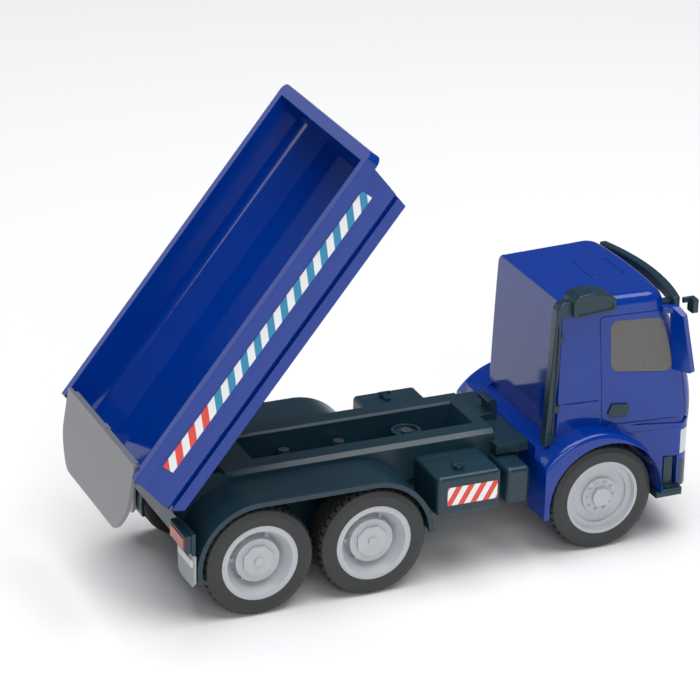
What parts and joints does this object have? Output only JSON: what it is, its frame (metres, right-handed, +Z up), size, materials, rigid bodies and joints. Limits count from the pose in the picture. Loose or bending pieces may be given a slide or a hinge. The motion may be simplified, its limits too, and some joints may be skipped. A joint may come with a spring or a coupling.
{
  "type": "toy dump truck",
  "caption": "Plastic toy dump truck with a raised tipping bed, free-swinging tailgate, closed cab and wheels that roll on through axles.",
  "frame": {"origin": "on the ground, under the middle of the whole model's box with the bed raised", "axes": "+X forwards to the cab's front, +Y to the truck's left, +Z up from the ground"},
  "size_m": [0.3467, 0.121, 0.2591],
  "materials": {
    "blue_plastic": "glossy moulded ABS",
    "slate_plastic": "satin moulded plastic, dark slate",
    "gate_plastic": "satin moulded plastic, dark slate",
    "tyre_plastic": "soft satin PVC, charcoal",
    "rim_plastic": "satin silver-grey plastic",
    "window_sticker": "plain grey insert",
    "teal_sticker": "printed film, slanted teal and white stripes, red and white at the rear",
    "red_sticker": "printed film, slanted red and white stripes",
    "flap_plastic": "soft pale grey plastic",
    "blank_plate": "blank white film",
    "lens_red": "red moulded lens",
    "lens_clear": "pale moulded lens",
    "screw_steel": "plated steel",
    "axle_steel": "plated steel rod"
  },
  "bodies": {
    "chassis": {"bed_catch": "slate_plastic", "bed_hinge_pin": "axle_steel", "box_caps": "slate_plastic", "box_label_left": "red_sticker", "box_label_right": "red_sticker", "cab_base": "blue_plastic", "cab_shell": "blue_plastic", "chassis_frame": "slate_plastic", "chassis_screws": "screw_steel", "door_handle_left": "slate_plastic", "door_handle_right": "slate_plastic", "front_bumper": "slate_plastic", "front_mirror": "slate_plastic", "front_tank_left": "slate_plastic", "front_tank_right": "slate_plastic", "grille": "slate_plastic", "headlight_left": "lens_clear", "headlight_right": "lens_clear", "intake_stack": "slate_plastic", "light_housing_left": "slate_plastic", "light_housing_right": "slate_plastic", "light_lens_left": "lens_red", "light_lens_right": "lens_red", "mud_flap_left": "flap_plastic", "mud_flap_right": "flap_plastic", "number_plate": "blank_plate", "rear_mudguard_left": "slate_plastic", "rear_mudguard_right": "slate_plastic", "side_mirror_left": "blue_plastic", "side_mirror_right": "blue_plastic", "side_window_left": "window_sticker", "side_window_right": "window_sticker", "step_left": "slate_plastic", "step_right": "slate_plastic", "storage_box_left": "slate_plastic", "storage_box_right": "slate_plastic", "sun_visor": "slate_plastic", "underside_plate": "slate_plastic", "windscreen": "window_sticker"},
    "bed": {"bed_shell": "blue_plastic", "bed_label_left": "teal_sticker", "bed_label_right": "teal_sticker"},
    "tailgate": {"tailgate": "gate_plastic"},
    "rear_wheels": {"rear_axle": "axle_steel", "rear_rim_left": "rim_plastic", "rear_rim_right": "rim_plastic", "rear_tyre_left": "tyre_plastic", "rear_tyre_right": "tyre_plastic"},
    "middle_wheels": {"middle_axle": "axle_steel", "middle_rim_left": "rim_plastic", "middle_rim_right": "rim_plastic", "middle_tyre_left": "tyre_plastic", "middle_tyre_right": "tyre_plastic"},
    "front_wheels": {"front_axle": "axle_steel", "front_rim_left": "rim_plastic", "front_rim_right": "rim_plastic", "front_tyre_left": "tyre_plastic", "front_tyre_right": "tyre_plastic"}
  },
  "joints": [
    {"name": "bed_tilt", "type": "hinge", "parent": "chassis", "child": "bed", "pos_m": [-0.1312, 0, 0.0711], "axis": [0, 1, 0], "range_deg": [0, 51.6]},
    {"name": "tailgate_swing", "type": "hinge", "parent": "bed", "child": "tailgate", "pos_m": [-0.16433, 0, 0.09289], "axis": [0, 1, 0], "range_deg": [-51.6, 40]},
    {"name": "rear_axle_spin", "type": "hinge", "parent": "chassis", "child": "rear_wheels", "pos_m": [-0.0964, 0, 0.0318], "axis": [0, 1, 0], "continuous": true},
    {"name": "middle_axle_spin", "type": "hinge", "parent": "chassis", "child": "middle_wheels", "pos_m": [-0.0295, 0, 0.0318], "axis": [0, 1, 0], "continuous": true},
    {"name": "front_axle_spin", "type": "hinge", "parent": "chassis", "child": "front_wheels", "pos_m": [0.1132, 0, 0.0318], "axis": [0, 1, 0], "continuous": true}
  ]
}
